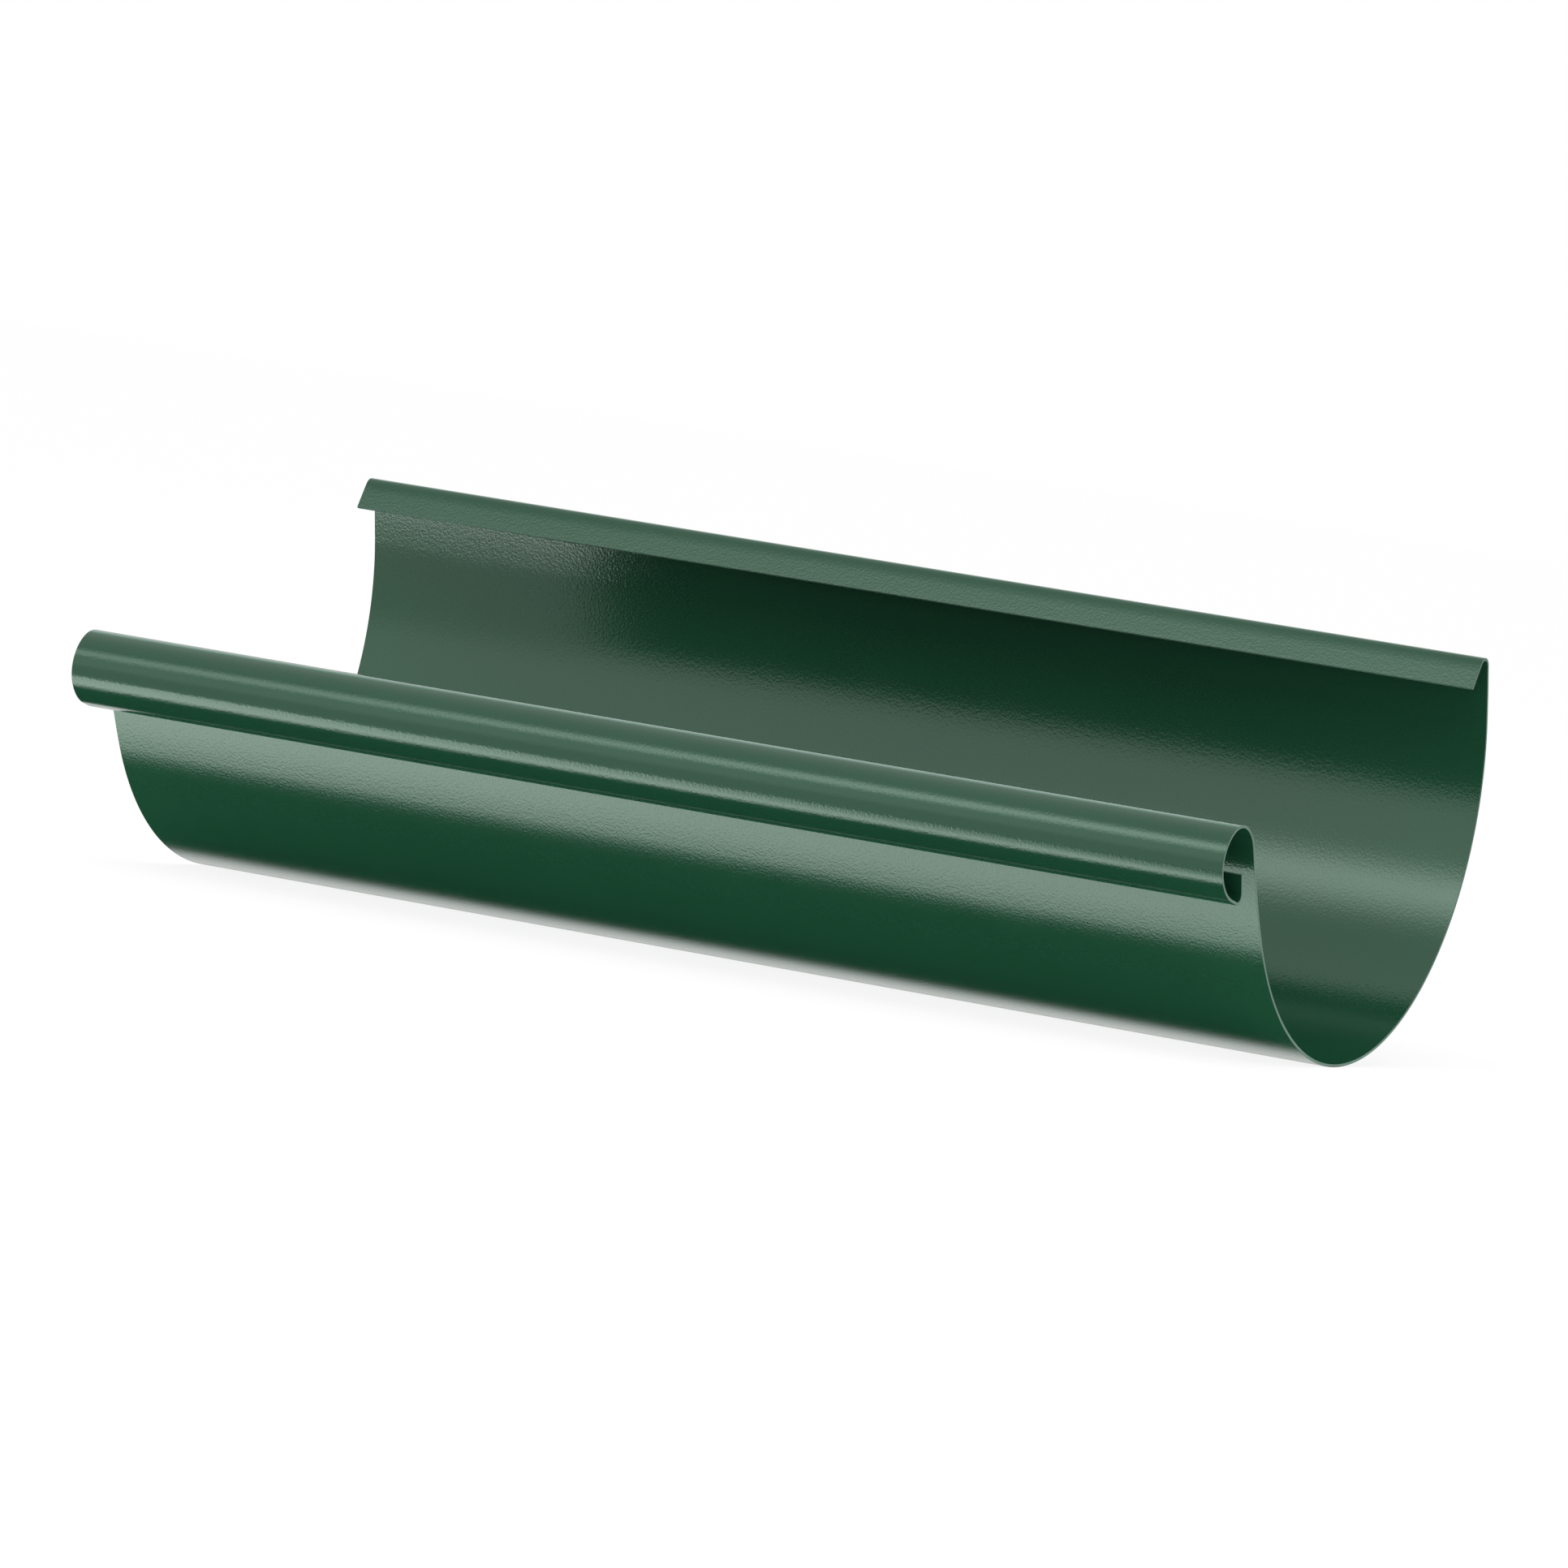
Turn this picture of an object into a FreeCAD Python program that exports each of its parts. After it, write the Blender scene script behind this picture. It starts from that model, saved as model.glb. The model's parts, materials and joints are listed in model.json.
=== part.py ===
import FreeCAD, Part
import math
import os

# Half-round gutter section: one roll-formed strip of coated steel sheet, cut square at both ends.
# Its section is a chain of straight runs and round bends, and the chain is pushed along X.
# Seen along +X the rear wall with its hook is at +Y, and the front wall with its bead at -Y.
# Sizes are in millimetres and degrees. Each radius or diameter is that of the sheet's outer side.

sectionLength = 300.0       # cut length, along the gutter
sheetThickness = 0.7        # steel with the coating of both faces
troughDiameter = 127.0      # outside of the half-round trough

hookFlange = 7.0            # sloping free end of the strip, inside the trough
hookSlope = 45.0            # slope of that flange, from level
hookRadius = 2.6            # bend over the rear wall's top
rearWallRise = 12.4         # upright rear wall, from the trough's axis to that bend

frontWallLean = 9.2         # the front wall leans outward, from upright
frontWallRun = 18.3         # straight front wall, from the trough to the bead
beadDiameter = 17.8         # outside of the hollow bead
beadSweep = 231.0           # turn of the bead's round part
beadLead = 2.9              # straight run under the bead
returnRadius = 2.2          # tight bend that turns the strip up into the bead
returnFlange = 4.5          # upright free end of the strip, inside the bead

troughRadius = troughDiameter / 2
beadRadius = beadDiameter / 2

# Headings are measured from +Y towards +Z. The rear wall is walked down, the front wall up.
upright = 90.0
hookTurn = -(hookSlope + upright)
troughTurn = -(2 * upright - frontWallLean)
returnTurn = 4 * upright - frontWallLean - beadSweep


class Strip:
    """The sheet's section, formed run by run and bend by bend along its mid-line."""

    def __init__(self, heading, thickness):
        self.point = FreeCAD.Vector(0, 0, 0)
        self.heading = heading
        self.halfSheet = thickness / 2
        self.sides = {1: [], -1: []}        # edges of the left and right face
        self.caps = [self.cutEdge()]

    def along(self, angle):
        radians = math.radians(angle)
        return FreeCAD.Vector(0, math.cos(radians), math.sin(radians))

    def leftOf(self, heading):
        return self.along(heading + upright)

    def cutEdge(self):
        reach = self.leftOf(self.heading) * self.halfSheet
        return Part.makeLine(self.point + reach, self.point - reach)

    def run(self, length):
        start = self.point
        self.point = start + self.along(self.heading) * length
        for side in self.sides:
            shift = self.leftOf(self.heading) * self.halfSheet * side
            self.sides[side].append(Part.makeLine(start + shift, self.point + shift))

    def bend(self, outerRadius, turn):
        """Turn by an angle, positive to the left, and give the bend's centre."""
        inward = math.copysign(1, turn)
        radius = outerRadius - self.halfSheet
        centre = self.point + self.leftOf(self.heading) * radius * inward
        for side in self.sides:
            sideRadius = radius - side * inward * self.halfSheet
            places = []
            for part in (0.0, 0.5, 1.0):
                outward = self.leftOf(self.heading + turn * part) * -inward
                places.append(centre + outward * sideRadius)
            self.sides[side].append(Part.Arc(*places).toShape())
        self.heading += turn
        self.point = centre - self.leftOf(self.heading) * radius * inward
        return centre

    def face(self):
        edges = self.caps + self.sides[1] + self.sides[-1] + [self.cutEdge()]
        return Part.Face(Part.Wire(Part.__sortEdges__(edges)))


def gutterProfile():
    """The section's face, with the trough's axis at the origin."""
    strip = Strip(hookSlope, sheetThickness)
    # rear hook and wall
    strip.run(hookFlange)
    strip.bend(hookRadius, hookTurn)
    strip.run(rearWallRise)
    # half-round trough and front wall
    axis = strip.bend(troughRadius, troughTurn)
    strip.run(frontWallRun)
    # bead, curled outward, with its free end turned up inside it
    strip.bend(beadRadius, beadSweep)
    strip.run(beadLead)
    strip.bend(returnRadius, returnTurn)
    strip.run(returnFlange)
    profile = strip.face()
    profile.translate(-axis)
    return profile


def layAtRest(section):
    """Roll the section on its round belly until its weight is straight below the trough's axis."""
    weight = section.CenterOfMass
    roll = math.degrees(math.atan2(-weight.y, -weight.z))
    section.rotate(FreeCAD.Vector(0, 0, 0), FreeCAD.Vector(1, 0, 0), roll)
    section.translate(FreeCAD.Vector(0, 0, troughRadius))
    return roll


profile = gutterProfile()
profile.translate(FreeCAD.Vector(-sectionLength / 2, 0, 0))
gutterSection = profile.extrude(FreeCAD.Vector(sectionLength, 0, 0))
roll = layAtRest(gutterSection)

os.makedirs("parts", exist_ok=True)
gutterSection.exportStep("parts/gutter_section.step")
print("gutter_section: volume", round(gutterSection.Volume, 1), "mm3, rests rolled by", round(roll, 3), "degrees")
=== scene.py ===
import json
import math
import bpy
from mathutils import Matrix, Vector


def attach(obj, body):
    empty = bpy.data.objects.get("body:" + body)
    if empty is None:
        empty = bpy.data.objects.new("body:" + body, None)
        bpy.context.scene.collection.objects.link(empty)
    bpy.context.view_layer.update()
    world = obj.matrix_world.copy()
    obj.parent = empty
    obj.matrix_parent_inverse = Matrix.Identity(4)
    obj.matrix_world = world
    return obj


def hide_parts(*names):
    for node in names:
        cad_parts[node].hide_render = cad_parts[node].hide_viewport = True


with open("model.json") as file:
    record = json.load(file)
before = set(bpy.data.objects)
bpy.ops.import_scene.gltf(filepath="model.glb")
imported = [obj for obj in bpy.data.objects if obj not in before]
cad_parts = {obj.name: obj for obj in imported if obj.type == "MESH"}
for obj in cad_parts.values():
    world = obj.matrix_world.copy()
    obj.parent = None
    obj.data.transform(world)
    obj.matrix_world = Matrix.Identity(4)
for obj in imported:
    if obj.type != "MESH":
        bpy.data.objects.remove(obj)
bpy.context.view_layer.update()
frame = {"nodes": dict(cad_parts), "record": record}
scene = bpy.context.scene
mm = 0.001
print("frame loaded:", ", ".join(frame["nodes"]))


# The sheet's section, in millimetres and degrees. Each radius is that of the sheet's outer side.
sheet = {
    "length": 300.0,
    "thickness": 0.7,
    "hookFlange": 4.4,      # the flat part of the free flange
    "hookSlope": 45.0,
    "easeRadius": 33.0,     # the flange's slight curve before the hook
    "easeTurn": 4.5,
    "hookRadius": 2.6,
    "rearWallRadius": 271.0,
    "rearWallTurn": 3.0,
    "troughRadius": 63.5,
    "frontWallLean": 15.78, # where the trough ends
    "frontWallRadius": 149.1,
    "frontWallTurn": 9.69,
    "beadFlatRadius": 9.15, # the bead isn't quite round: flatter bends with tighter ones between
    "beadTightRadius": 7.95,
    "beadOpenRadius": 10.5, # its last bend, which opens toward the return
    "beadSweep": 234.1,
    "beadLead": 2.9,
    "returnRadius": 2.2,
    "returnFlange": 4.5,
    "bendStep": 2.0,        # degrees of the trough in one facet
    "tightBendStep": 6.0,   # the same in the small bends
    "bays": 20,             # spans along the length
    "arris": 0.1,           # softened corner of the cut edges
    "arrisSteps": 2,
    "arrisAngle": 60.0,     # only corners sharper than this are softened
}


# The mid-line as (y, z, heading) from the hook's free edge to the bead's, and the centres of its bends.
def walkSection(s):
    y, z, heading = 0.0, 0.0, s["hookSlope"]
    line = [(y, z, heading)]
    centres = []

    def run(length):
        nonlocal y, z
        y += length * math.cos(math.radians(heading))
        z += length * math.sin(math.radians(heading))
        line.append((y, z, heading))

    def bend(outerRadius, turn, step):
        nonlocal y, z, heading
        side = math.copysign(1, turn)
        radius = (outerRadius - s["thickness"] / 2) * side
        centreY = y - radius * math.sin(math.radians(heading))
        centreZ = z + radius * math.cos(math.radians(heading))
        count = math.ceil(abs(turn) / step)
        start = heading
        for i in range(1, count + 1):
            heading = start + turn * i / count
            y = centreY + radius * math.sin(math.radians(heading))
            z = centreZ - radius * math.cos(math.radians(heading))
            line.append((y, z, heading))
        centres.append((centreY, centreZ))

    run(s["hookFlange"])
    bend(s["easeRadius"], -s["easeTurn"], s["bendStep"])
    toRearWall = s["hookSlope"] + 90 - s["easeTurn"] - s["rearWallTurn"] / 2
    bend(s["hookRadius"], -toRearWall, s["tightBendStep"])
    bend(s["rearWallRadius"], -s["rearWallTurn"], s["bendStep"])
    toFrontWall = 180 - s["frontWallLean"] - s["rearWallTurn"] / 2
    bend(s["troughRadius"], -toFrontWall, s["bendStep"])
    bend(s["frontWallRadius"], -s["frontWallTurn"], s["bendStep"])
    beadBends = (s["beadFlatRadius"], s["beadTightRadius"]) * 2 + (s["beadOpenRadius"],)
    for radius in beadBends:
        bend(radius, s["beadSweep"] / len(beadBends), s["tightBendStep"])
    run(s["beadLead"])
    bend(s["returnRadius"], 90 - heading, s["tightBendStep"])
    run(s["returnFlange"])
    axis, bead = centres[3], centres[5]
    line = [(py - axis[0], pz - axis[1], h) for py, pz, h in line]
    return line, (bead[0] - axis[0], bead[1] - axis[1])


midLine, beadCentre = walkSection(sheet)

# The section lies rolled on its belly. The bead's place in the frame says by how much.
mounts = {m["name"]: Vector(m["pos_m"]) for m in frame["record"]["mounts"]}
troughAxis = Vector((0, 0, sheet["troughRadius"] * mm))
beadAtRest = mounts["front_bead"] - troughAxis
roll = math.atan2(beadAtRest.z, beadAtRest.y) - math.atan2(beadCentre[1], beadCentre[0])
roll = (roll + math.pi) % (2 * math.pi) - math.pi
lay = Matrix.Translation(troughAxis) @ Matrix.Rotation(roll, 4, "X")
print("section lies rolled by", round(math.degrees(roll), 2), "degrees")


# Both faces of the sheet stand off the mid-line, in equal bays along X, closed by the two cut ends.
def makeSheet(s, line):
    half = s["thickness"] / 2
    outline = []
    for side, points in ((1, line), (-1, line[::-1])):
        for y, z, heading in points:
            across = math.radians(heading + 90)
            outline.append((y + side * half * math.cos(across), z + side * half * math.sin(across)))
    count = len(outline)
    verts, faces = [], []
    for i in range(s["bays"] + 1):
        x = s["length"] * (i / s["bays"] - 0.5)
        verts += [lay @ (Vector((x, y, z)) * mm) for y, z in outline]
    for i in range(s["bays"]):
        for j in range(count):
            a, b = i * count + j, i * count + (j + 1) % count
            faces.append((a, a + count, b + count, b))
    last = s["bays"] * count
    walls = len(faces)
    for j in range(len(line) - 1):
        k = count - 1 - j
        faces.append((j, j + 1, k - 1, k))
        faces.append((last + j, last + k, last + k - 1, last + j + 1))
    mesh = bpy.data.meshes.new("gutterSheet")
    mesh.from_pydata(verts, [], faces)
    mesh.polygons.foreach_set("use_smooth", [True] * len(faces))
    # the two cut ends, and along the length the strip's two cut edges, which take the lighter edge
    # material with its painted highlight
    tips = (count // 2 - 1, count - 1)
    for face in mesh.polygons:
        isTip = face.index < walls and face.index % count in tips
        face.material_index = 1 if face.index >= walls or isTip else 0
    obj = bpy.data.objects.new("gutterSheet", mesh)
    scene.collection.objects.link(obj)
    arris = obj.modifiers.new("arris", "BEVEL")
    arris.width = s["arris"] * mm
    arris.segments = s["arrisSteps"]
    arris.limit_method = "ANGLE"
    arris.angle_limit = math.radians(s["arrisAngle"])
    arris.harden_normals = True
    return obj


gutterSheet = makeSheet(sheet, midLine)
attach(gutterSheet, "root")
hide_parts("gutter_section")
print("sheet made:", len(gutterSheet.data.polygons), "faces")


# A pebbled coat: rounded grains, a finer ripple on them, and a slow mottle in the colour.
pebbles = {
    "grainDetail": 1.0,
    "grainRoughness": 0.4,
    "rippleDetail": 0.0,
    "rippleToGrain": 2.3,   # how much finer the ripple is than the grain
    "mottleDetail": 2.0,
}


def makePebbleGroup():
    group = bpy.data.node_groups.new("pebbledCoat", "ShaderNodeTree")
    for name in ("Grain Scale", "Ripple", "Mottle Scale"):
        group.interface.new_socket(name, in_out="INPUT", socket_type="NodeSocketFloat")
    for name in ("Height", "Mottle"):
        group.interface.new_socket(name, in_out="OUTPUT", socket_type="NodeSocketFloat")
    nodes, links = group.nodes, group.links
    inputs = nodes.new("NodeGroupInput")
    outputs = nodes.new("NodeGroupOutput")
    place = nodes.new("ShaderNodeTexCoord")
    grain = nodes.new("ShaderNodeTexNoise")
    grain.inputs["Detail"].default_value = pebbles["grainDetail"]
    grain.inputs["Roughness"].default_value = pebbles["grainRoughness"]
    fine = nodes.new("ShaderNodeTexNoise")
    fine.inputs["Detail"].default_value = pebbles["rippleDetail"]
    finer = nodes.new("ShaderNodeMath")
    finer.operation = "MULTIPLY"
    finer.inputs[1].default_value = pebbles["rippleToGrain"]
    ripple = nodes.new("ShaderNodeMath")
    ripple.operation = "MULTIPLY"
    height = nodes.new("ShaderNodeMath")
    height.operation = "ADD"
    mottle = nodes.new("ShaderNodeTexNoise")
    mottle.inputs["Detail"].default_value = pebbles["mottleDetail"]
    for texture in (grain, fine, mottle):
        links.new(place.outputs["Object"], texture.inputs["Vector"])
    links.new(inputs.outputs["Grain Scale"], grain.inputs["Scale"])
    links.new(inputs.outputs["Grain Scale"], finer.inputs[0])
    links.new(finer.outputs[0], fine.inputs["Scale"])
    links.new(fine.outputs["Fac"], ripple.inputs[0])
    links.new(inputs.outputs["Ripple"], ripple.inputs[1])
    links.new(grain.outputs["Fac"], height.inputs[0])
    links.new(ripple.outputs[0], height.inputs[1])
    links.new(inputs.outputs["Mottle Scale"], mottle.inputs["Scale"])
    links.new(height.outputs[0], outputs.inputs["Height"])
    links.new(mottle.outputs["Fac"], outputs.inputs["Mottle"])
    return group


pebbledCoat = makePebbleGroup()

mossCoat = {
    "colour": (0.0087, 0.0520, 0.0253),
    "colourWorn": (0.0094, 0.0560, 0.0273),
    "metallic": 0.23,
    "roughness": 0.12,
    "roughnessWorn": 0.16,
    "specular": 0.56,
    "grainScale": 1650.0,
    "grainDepth": 0.028,    # mm
    "ripple": 0.35,
    "mottleScale": 45.0,
}
# The cut edges' light green is a painted highlight: a coat colour made much lighter to stand in for the
# light that the thin cut faces catch.
paintedEdgeHighlight = {
    "colour": (0.070, 0.135, 0.100),
    "colourWorn": (0.085, 0.155, 0.118),
    "metallic": 0.1,
    "roughness": 0.35,
    "roughnessWorn": 0.45,
    "specular": 0.5,
    "grainScale": 1400.0,
    "grainDepth": 0.004,
    "ripple": 0.35,
    "mottleScale": 45.0,
}


def makeCoat(name, c):
    material = bpy.data.materials.new(name)
    material.use_nodes = True
    nodes, links = material.node_tree.nodes, material.node_tree.links
    shader = nodes["Principled BSDF"]
    shader.inputs["Metallic"].default_value = c["metallic"]
    shader.inputs["Specular IOR Level"].default_value = c["specular"]
    coat = nodes.new("ShaderNodeGroup")
    coat.node_tree = pebbledCoat
    coat.inputs["Grain Scale"].default_value = c["grainScale"]
    coat.inputs["Ripple"].default_value = c["ripple"]
    coat.inputs["Mottle Scale"].default_value = c["mottleScale"]
    colour = nodes.new("ShaderNodeMix")
    colour.data_type = "RGBA"
    colour.inputs["A"].default_value = (*c["colour"], 1)
    colour.inputs["B"].default_value = (*c["colourWorn"], 1)
    rough = nodes.new("ShaderNodeMapRange")
    rough.inputs["To Min"].default_value = c["roughness"]
    rough.inputs["To Max"].default_value = c["roughnessWorn"]
    bump = nodes.new("ShaderNodeBump")
    bump.inputs["Distance"].default_value = c["grainDepth"] * mm
    links.new(coat.outputs["Mottle"], colour.inputs["Factor"])
    links.new(colour.outputs["Result"], shader.inputs["Base Color"])
    links.new(coat.outputs["Mottle"], rough.inputs["Value"])
    links.new(rough.outputs["Result"], shader.inputs["Roughness"])
    links.new(coat.outputs["Height"], bump.inputs["Height"])
    links.new(bump.outputs["Normal"], shader.inputs["Normal"])
    return material


gutterSheet.data.materials.append(makeCoat("mossGreenCoat", mossCoat))
gutterSheet.data.materials.append(makeCoat("cutEdgePaintedHighlight", paintedEdgeHighlight))
print("finishes made")


studio = {
    "floorWidth": 12000.0,
    "floorColour": (0.95, 0.95, 0.95),
    "shadow": 0.12,         # share of the floor's own shading that the camera sees
    "skyStrength": 1.0,
}


# One where camera, glossy or transmitted rays meet a surface, and nought elsewhere.
def whiteTo(nodes, links):
    path = nodes.new("ShaderNodeLightPath")
    seen = path.outputs["Is Camera Ray"]
    for ray in ("Is Glossy Ray", "Is Transmission Ray"):
        either = nodes.new("ShaderNodeMath")
        either.operation = "MAXIMUM"
        links.new(seen, either.inputs[0])
        links.new(path.outputs[ray], either.inputs[1])
        seen = either.outputs[0]
    return seen


def makeWorld(s):
    world = bpy.data.worlds.new("studio")
    scene.world = world
    world.use_nodes = True
    sky = world.node_tree.nodes["Background"]
    sky.inputs["Color"].default_value = (1, 1, 1, 1)
    sky.inputs["Strength"].default_value = s["skyStrength"]


# A pale floor whose own shading, with the shadow, shows faintly through plain white.
def makeFloor(s):
    half = s["floorWidth"] * mm / 2
    mesh = bpy.data.meshes.new("floor")
    corners = [(-half, -half, 0), (half, -half, 0), (half, half, 0), (-half, half, 0)]
    mesh.from_pydata(corners, [], [(0, 1, 2, 3)])
    floor = bpy.data.objects.new("floor", mesh)
    scene.collection.objects.link(floor)
    material = bpy.data.materials.new("paleFloor")
    material.use_nodes = True
    nodes, links = material.node_tree.nodes, material.node_tree.links
    lit = nodes["Principled BSDF"]
    lit.inputs["Base Color"].default_value = (*s["floorColour"], 1)
    lit.inputs["Roughness"].default_value = 1.0
    lit.inputs["Specular IOR Level"].default_value = 0.0
    plain = nodes.new("ShaderNodeEmission")
    plain.inputs["Strength"].default_value = 1.0
    share = nodes.new("ShaderNodeMath")
    share.operation = "MULTIPLY"
    share.inputs[1].default_value = 1 - s["shadow"]
    blend = nodes.new("ShaderNodeMixShader")
    links.new(whiteTo(nodes, links), share.inputs[0])
    links.new(share.outputs[0], blend.inputs["Fac"])
    links.new(lit.outputs["BSDF"], blend.inputs[1])
    links.new(plain.outputs["Emission"], blend.inputs[2])
    links.new(blend.outputs["Shader"], nodes["Material Output"].inputs["Surface"])
    mesh.materials.append(material)
    floor.visible_glossy = False


makeWorld(studio)
makeFloor(studio)


# Large glowing panels far off, drawn by the coat's gloss alone. Angles are in degrees in the end view
# of the upright section: 90 is straight up, 180 level in front of the bead, 270 straight down. A panel
# starts at its first angle with the radiance "start", grows to "peak" over "rise" and is multiplied
# down to "end" over "fall". "far" and "near" scale it toward the far and near end of the gutter.
glowPanels = {
    "overFront": {
        "span": (100, 136), "start": 1.1, "peak": 4.1, "rise": (102, 121), "fall": (122, 136), "end": 0.38,
        "far": 0.74, "near": 1.1, "fade": (200, 201),
        "colour": (1.0, 1.0, 1.0),
    },
    "front": {
        "span": (136, 168), "start": 1.5, "peak": 1.5, "rise": (136, 137), "fall": (154, 168), "end": 0.7,
        "far": 1.0, "near": 1.0, "fade": (0, 1),
        "colour": (1.0, 1.0, 1.0),
    },
    "belowFront": {
        "span": (198, 240), "start": 1.1, "peak": 5.6, "rise": (199, 204), "fall": (226, 240), "end": 0.0,
        "far": 1.0, "near": 0.14, "fade": (198, 238),
        "colour": (1.0, 1.0, 1.0),
    },
    "darkBelow": {
        "span": (240, 312), "start": 0.0, "peak": 1.0, "rise": (297, 311), "fall": (311, 312), "end": 1.0,
        "far": 1.0, "near": 1.0, "fade": (0, 1),
        "colour": (1.0, 1.0, 1.0),
    },
    "behind": {
        "span": (318, 355), "start": 1.0, "peak": 0.72, "rise": (320, 330), "fall": (350, 355), "end": 1.1,
        "far": 1.0, "near": 1.0, "fade": (0, 1),
        "colour": (1.0, 1.0, 1.0),
    },
    "overBehind": {
        "span": (365, 400), "start": 1.4, "peak": 1.4, "rise": (365, 370), "fall": (375, 400), "end": 0.62,
        "far": 1.0, "near": 1.0, "fade": (0, 1),
        "colour": (0.82, 1.0, 0.93),
    },
}
glowReach = {"distance": 4000.0, "x": (-6000.0, 3000.0), "far": -2230.0, "near": -1500.0}


def keepToGloss(panel, material):
    material.cycles.emission_sampling = "NONE"
    panel.visible_camera = False
    panel.visible_diffuse = False
    panel.visible_shadow = False


def makeGlowPanel(name, p, r):
    (x0, x1), d = r["x"], r["distance"] * mm
    corners, marks = [], []
    for x, angle in ((x0, p["span"][0]), (x1, p["span"][0]), (x1, p["span"][1]), (x0, p["span"][1])):
        a = math.radians(angle)
        corners.append(lay @ Vector((x * mm, d * math.cos(a), d * math.sin(a))))
        marks.append((x, angle))
    mesh = bpy.data.meshes.new(name)
    mesh.from_pydata(corners, [], [(0, 1, 2, 3)])
    layer = mesh.uv_layers.new(name="alongAndAngle")
    for loop, mark in zip(layer.data, marks):
        loop.uv = mark
    panel = bpy.data.objects.new(name, mesh)
    scene.collection.objects.link(panel)
    material = bpy.data.materials.new(name)
    material.use_nodes = True
    nodes, links = material.node_tree.nodes, material.node_tree.links
    nodes.remove(nodes["Principled BSDF"])
    glow = nodes.new("ShaderNodeEmission")
    glow.inputs["Color"].default_value = (*p["colour"], 1)
    place = nodes.new("ShaderNodeUVMap")
    split = nodes.new("ShaderNodeSeparateXYZ")
    links.new(place.outputs["UV"], split.inputs["Vector"])

    def ramp(axis, limits, levels):
        node = nodes.new("ShaderNodeMapRange")
        node.interpolation_type = "SMOOTHSTEP"
        for socket, value in zip(("From Min", "From Max", "To Min", "To Max"), (*limits, *levels)):
            node.inputs[socket].default_value = value
        links.new(split.outputs[axis], node.inputs["Value"])
        return node.outputs["Result"]

    def times(first, second):
        node = nodes.new("ShaderNodeMath")
        node.operation = "MULTIPLY"
        links.new(first, node.inputs[0])
        links.new(second, node.inputs[1])
        return node.outputs[0]

    rise = ramp("Y", p["rise"], (p["start"], p["peak"]))
    fall = ramp("Y", p["fall"], (1.0, p["end"]))
    along = ramp("X", (r["far"], r["near"]), (p["far"] - 1, p["near"] - 1))
    lean = nodes.new("ShaderNodeMath")
    lean.operation = "ADD"
    lean.inputs[1].default_value = 1.0
    links.new(times(along, ramp("Y", p["fade"], (1.0, 0.0))), lean.inputs[0])
    links.new(times(times(rise, fall), lean.outputs[0]), glow.inputs["Strength"])
    links.new(glow.outputs["Emission"], nodes["Material Output"].inputs["Surface"])
    mesh.materials.append(material)
    keepToGloss(panel, material)


# Plain panels that close the ring of glow at both ends, for a look along the gutter.
endPanels = {
    "farEnd": {"x": -6000.0, "half": 4200.0, "radiance": 0.22},
    "nearEnd": {"x": 3000.0, "half": 4200.0, "radiance": 0.22},
}


def makeEndPanel(name, p):
    x, half = p["x"] * mm, p["half"] * mm
    mesh = bpy.data.meshes.new(name)
    corners = ((-half, -half), (half, -half), (half, half), (-half, half))
    mesh.from_pydata([troughAxis + Vector((x, y, z)) for y, z in corners], [], [(0, 1, 2, 3)])
    panel = bpy.data.objects.new(name, mesh)
    scene.collection.objects.link(panel)
    material = bpy.data.materials.new(name)
    material.use_nodes = True
    nodes, links = material.node_tree.nodes, material.node_tree.links
    nodes.remove(nodes["Principled BSDF"])
    glow = nodes.new("ShaderNodeEmission")
    glow.inputs["Strength"].default_value = p["radiance"]
    links.new(glow.outputs["Emission"], nodes["Material Output"].inputs["Surface"])
    mesh.materials.append(material)
    keepToGloss(panel, material)


for name, panel in glowPanels.items():
    makeGlowPanel(name, panel, glowReach)
for name, panel in endPanels.items():
    makeEndPanel(name, panel)

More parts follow.
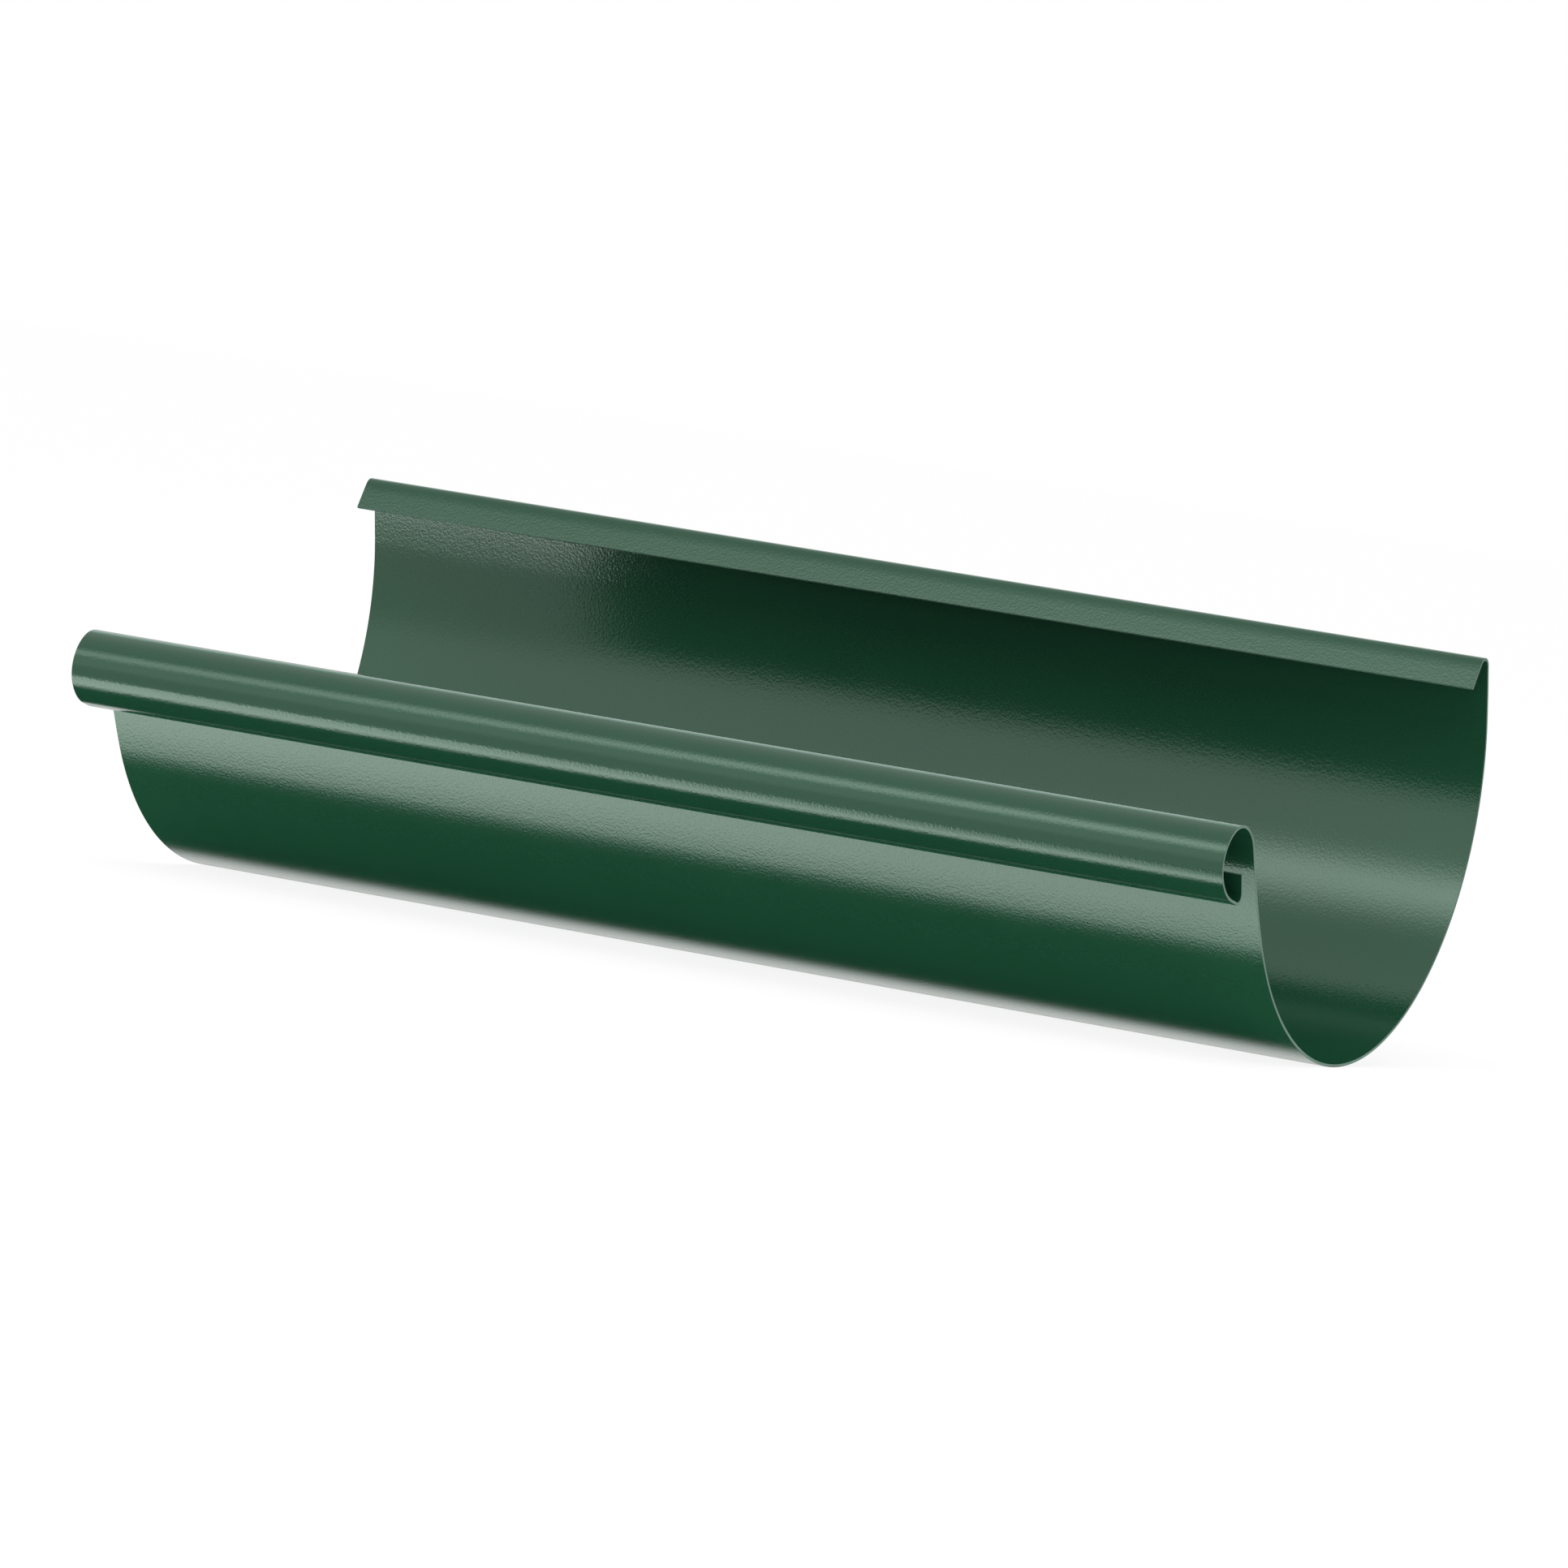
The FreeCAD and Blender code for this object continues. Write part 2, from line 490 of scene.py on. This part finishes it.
# Broad soft light that shapes the plain colour and stays out of the gloss. Lights above the trough's axis
# face it, and the one below shines straight up.
softLights = {
    "overhead": {"at": (-900.0, 1200.0), "size": (2400.0, 700.0), "radiance": 2.5},
    "frontFill": {"at": (-1500.0, 300.0), "size": (2400.0, 600.0), "radiance": 0.2},
    "underFill": {"at": (-30.0, 0.3), "size": (1000.0, 125.0), "radiance": 1.0},
}


def makeSoftLight(name, b):
    along, wide = b["size"]
    light = bpy.data.lights.new(name, "AREA")
    light.shape = "RECTANGLE"
    light.size = along * mm
    light.size_y = wide * mm
    light.energy = b["radiance"] * math.pi * along * wide * mm * mm
    obj = bpy.data.objects.new(name, light)
    y, z = b["at"]
    obj.location = Vector((0, y, z)) * mm
    obj.rotation_euler = (math.pi, 0, 0)
    if z > sheet["troughRadius"]:
        obj.rotation_euler = (math.atan2(-y * mm, z * mm - troughAxis.z), 0, 0)
    obj.visible_camera = False
    obj.visible_glossy = False
    scene.collection.objects.link(obj)


for name, light in softLights.items():
    makeSoftLight(name, light)
print("studio made")


# The camera faces the section as it hangs, open side up: its angles and aim are those of the upright
# section, about the trough's axis, and the lay then carries them over with the section.
viewPoint = {
    "azimuth": 27.487,
    "elevation": 19.307,
    "distance": 2662.6,
    "aim": (0.316, -7.385, -19.118),
    "lens": 258.82,
    "sensor": 36.0,
    "clip": (0.1, 50.0),    # metres
}


def makeCamera(v):
    data = bpy.data.cameras.new("camera")
    data.lens = v["lens"]
    data.sensor_width = v["sensor"]
    data.clip_start, data.clip_end = v["clip"]
    azimuth, elevation = math.radians(v["azimuth"]), math.radians(v["elevation"])
    level = math.cos(elevation)
    back = Vector((math.sin(azimuth) * level, -math.cos(azimuth) * level, math.sin(elevation)))
    aim = Vector(v["aim"]) * mm
    stand = Matrix.Translation(aim + back * v["distance"] * mm)
    turn = Matrix.Rotation(azimuth, 4, "Z") @ Matrix.Rotation(math.pi / 2 - elevation, 4, "X")
    camera = bpy.data.objects.new("camera", data)
    scene.collection.objects.link(camera)
    camera.matrix_world = lay @ stand @ turn
    scene.camera = camera


makeCamera(viewPoint)
print("camera set")
scene.view_settings.view_transform = "Standard"

bpy.context.view_layer.update()
